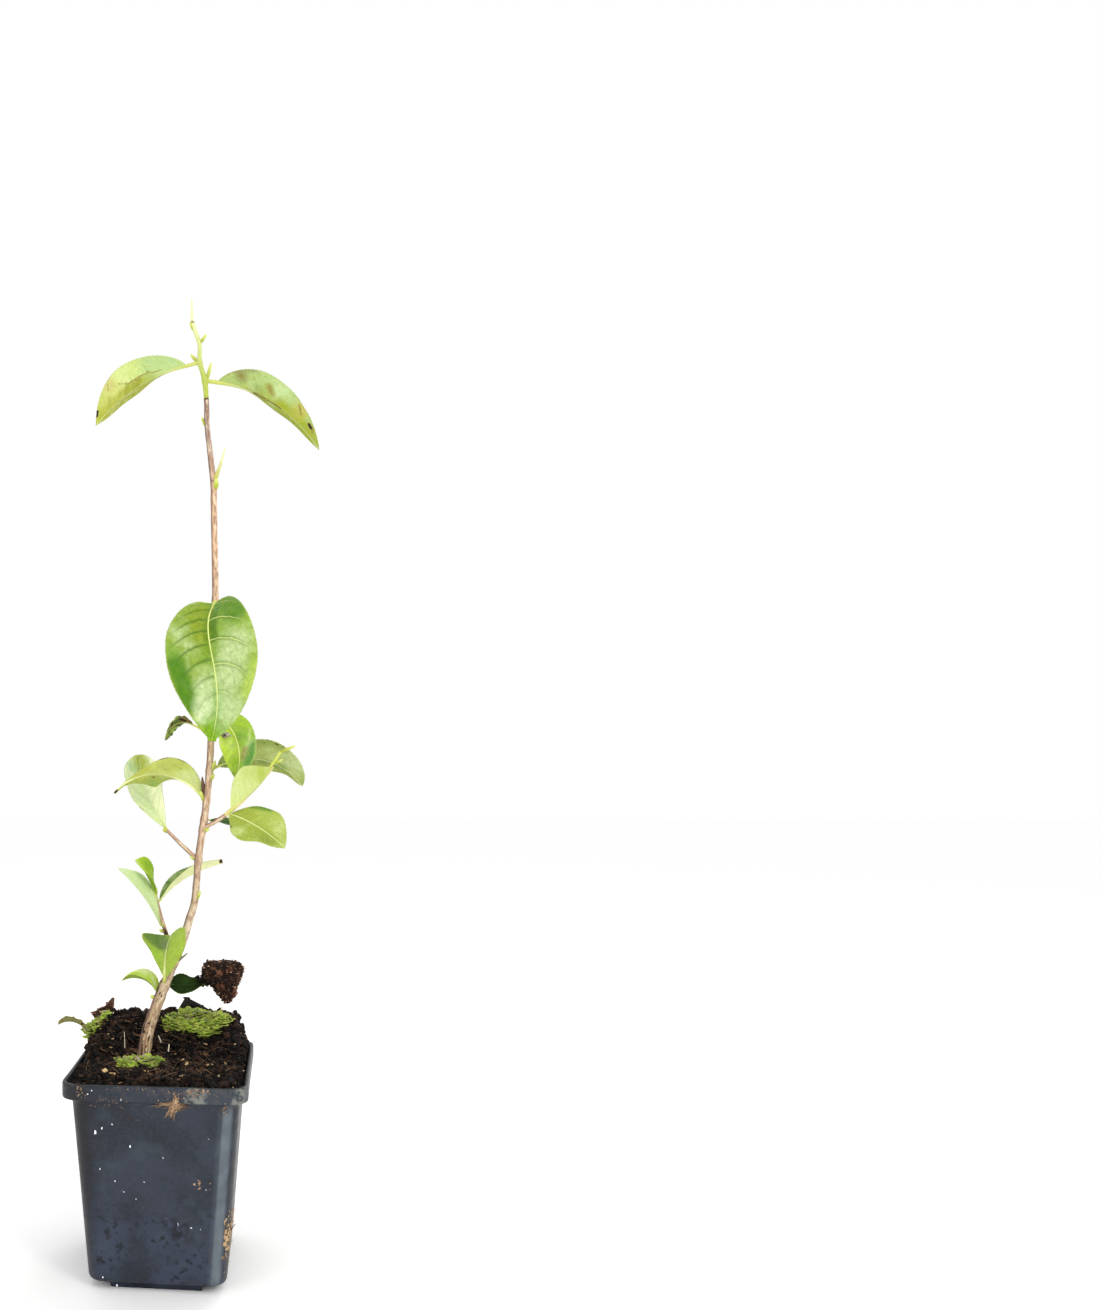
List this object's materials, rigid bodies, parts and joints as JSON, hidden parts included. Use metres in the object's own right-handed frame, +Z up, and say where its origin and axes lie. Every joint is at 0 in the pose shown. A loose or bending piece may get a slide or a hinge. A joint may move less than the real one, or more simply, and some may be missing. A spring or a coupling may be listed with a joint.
{
  "type": "young tea plant in a square nursery pot",
  "caption": "Young tea plant with a slender leaning stem, side twigs, folded leaves and buds, rooted in heaped compost in a square tapered plastic nursery pot.",
  "frame": {"origin": "middle of the pot's flat underside, on the ground", "axes": "+Z up, -Y to the front that the picture shows, +X to the side that the stem leans to"},
  "size_m": [0.1399, 0.0903, 0.4934],
  "materials": {
    "pot_plastic": "satin",
    "compost": "rough",
    "bark": "matte",
    "green_shoot": "satin",
    "leaf_green": "satin",
    "leaf_pale": "satin",
    "leaf_dark": "satin",
    "leaf_withered": "matte",
    "moss": "rough"
  },
  "bodies": {
    "root": {"pot": "pot_plastic", "soil": "compost", "clod": "compost", "stem": "bark", "twig_left": "bark", "twig_right": "bark", "twig_low": "bark", "dry_spur": "bark", "top_shoot": "green_shoot", "side_shoot": "green_shoot", "spray_right": "leaf_green", "spray_low": "leaf_green", "leaf_top_left": "leaf_green", "leaf_top_right": "leaf_green", "leaf_big_front": "leaf_green", "leaf_back_middle": "leaf_green", "leaf_right_hang": "leaf_green", "leaf_right_reach": "leaf_green", "leaf_arch_left": "leaf_green", "leaf_cup_front": "leaf_green", "leaf_arch_low": "leaf_green", "leaf_left_pale": "leaf_pale", "leaf_low_pale": "leaf_pale", "leaf_back_right": "leaf_dark", "leaf_dark_low": "leaf_dark", "leaf_curled": "leaf_withered", "leaf_decayed": "leaf_withered", "moss_foot": "moss", "moss_back": "moss", "moss_left": "moss"}
  },
  "joints": []
}
